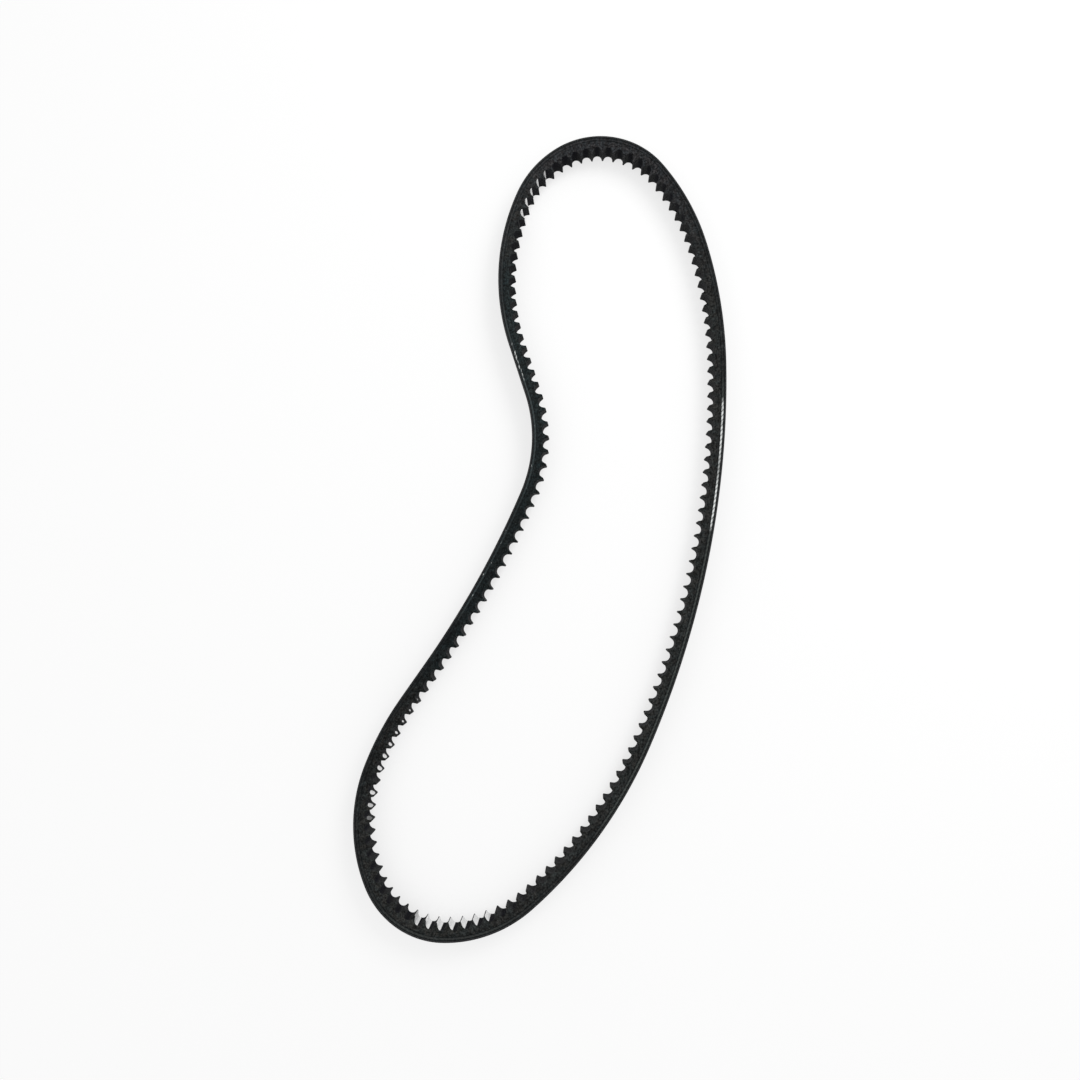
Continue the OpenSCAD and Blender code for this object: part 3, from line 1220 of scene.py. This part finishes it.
class VBELT_OT_stage(bpy.types.Operator):
    """Sets up the camera, the lamps, the sky and the pale floor"""

    bl_idname = "vbelt.stage"
    bl_label = "Stage"

    SENSOR_WIDTH = 36
    CLIP_START = 10 * MM
    KEY_PLACE = Vector((1.1, 1.2, 1.5))
    KEY_SIZE = 1.0
    FILL_PLACE = Vector((-2.0, -0.6, 2.4))
    FILL_SIZE = 2.0
    FLOOR_REACH = 4
    FLOOR_DROP = 0.05 * MM
    FLOOR_ROUGHNESS = 0.9

    def execute(self, context):
        scene = context.scene
        stage = scene.belt_stage
        low, high = (Vector(corner) for corner in CAD_BOX)
        foot = Vector(((low.x + high.x) / 2, (low.y + high.y) / 2, low.z))
        self.camera(scene, stage, foot)
        self.light(scene, stage, foot, max(high - low))
        self.floor(stage, foot, max(high - low))
        scene.view_settings.view_transform = "Standard"
        return {"FINISHED"}

    def camera(self, scene, stage, foot):
        data = bpy.data.cameras.new("camera")
        data.sensor_width = self.SENSOR_WIDTH
        data.lens = stage.lens
        data.shift_x = stage.shift_x
        data.shift_y = stage.shift_y
        data.clip_start = self.CLIP_START
        camera = bpy.data.objects.new("camera", data)
        eye = foot + Vector(stage.camera_offset)
        back = (eye - foot - Vector(stage.target_offset)).normalized()
        right = Vector((0, 1, 0)).cross(back).normalized()
        up = back.cross(right)
        turned = Matrix((right, up, back)).transposed().to_4x4()
        camera.matrix_world = Matrix.Translation(eye) @ turned
        scene.collection.objects.link(camera)
        scene.camera = camera

    def light(self, scene, stage, foot, reach):
        area_lamp(
            "right_lamp", foot + self.KEY_PLACE * reach, foot, self.KEY_SIZE * reach, stage.key
        )
        area_lamp(
            "left_lamp", foot + self.FILL_PLACE * reach, foot, self.FILL_SIZE * reach, stage.fill
        )
        world = bpy.data.worlds.new("room")
        world.use_nodes = True
        world.node_tree.nodes.clear()
        words = Nodes(world.node_tree)
        rays = words.add("ShaderNodeLightPath").outputs
        seen = words.most(rays["Is Camera Ray"], rays["Is Transmission Ray"])
        room = words.white_light("ShaderNodeBackground", stage.sky)
        white = words.white_light("ShaderNodeBackground", 1)
        output = words.add("ShaderNodeOutputWorld")
        words.link(words.mix_shaders(seen, room, white), output.inputs["Surface"])
        scene.world = world

    def floor(self, stage, foot, reach):
        material, words, shader = new_material("pale floor")
        words.feed(shader.inputs["Base Color"], stage.floor)
        shader.inputs["Roughness"].default_value = self.FLOOR_ROUGHNESS
        shader.inputs["Specular IOR Level"].default_value = 0
        rays = words.add("ShaderNodeLightPath").outputs
        seen = words.most(rays["Is Camera Ray"], rays["Is Glossy Ray"])
        seen = words.most(seen, rays["Is Transmission Ray"])
        lift = words.times(seen, stage.floor_lift)
        white = words.white_light("ShaderNodeEmission", 1)
        output = material.node_tree.get_output_node("ALL")
        words.link(words.mix_shaders(lift, shader.outputs[0], white), output.inputs["Surface"])
        bm = bmesh.new()
        bmesh.ops.create_grid(bm, x_segments=2, y_segments=2, size=self.FLOOR_REACH * reach)
        bmesh.ops.translate(bm, vec=foot - Vector((0, 0, self.FLOOR_DROP)), verts=bm.verts)
        add_object(bm, "floor", [material])


OPERATORS = (
    VBELT_OT_stage,
    VBELT_OT_finishes,
    VBELT_OT_fabric,
    VBELT_OT_bare_cord,
    VBELT_OT_cogs,
    VBELT_OT_inner_layers,
)


GROUPS = {
    "belt_section": BeltSection,
    "belt_cogs": BeltCogs,
    "belt_loop": BeltLoop,
    "belt_looks": BeltLooks,
    "belt_stage": BeltStage,
}


class VBELT_PT_panel(bpy.types.Panel):
    """Buttons for the belt's pieces, and their settings"""

    bl_idname = "VBELT_PT_panel"
    bl_label = "V belt"
    bl_space_type = "VIEW_3D"
    bl_region_type = "UI"
    bl_category = "V belt"

    def draw(self, context):
        column = self.layout.column()
        for operator in OPERATORS:
            column.operator(operator.bl_idname)
        for group in (getattr(context.scene, name) for name in GROUPS):
            for setting in group.bl_rna.properties.keys():
                if setting not in ("rna_type", "name"):
                    column.prop(group, setting)


def register():
    for kind in (*GROUPS.values(), *OPERATORS, VBELT_PT_panel):
        bpy.utils.register_class(kind)
    for name, kind in GROUPS.items():
        setattr(bpy.types.Scene, name, PointerProperty(type=kind))


def unregister():
    for name in GROUPS:
        delattr(bpy.types.Scene, name)
    for kind in reversed((*GROUPS.values(), *OPERATORS, VBELT_PT_panel)):
        bpy.utils.unregister_class(kind)


def main():
    register()
    for operator in OPERATORS:
        family, name = operator.bl_idname.split(".")
        getattr(getattr(bpy.ops, family), name)()


if __name__ == "__main__":
    main()
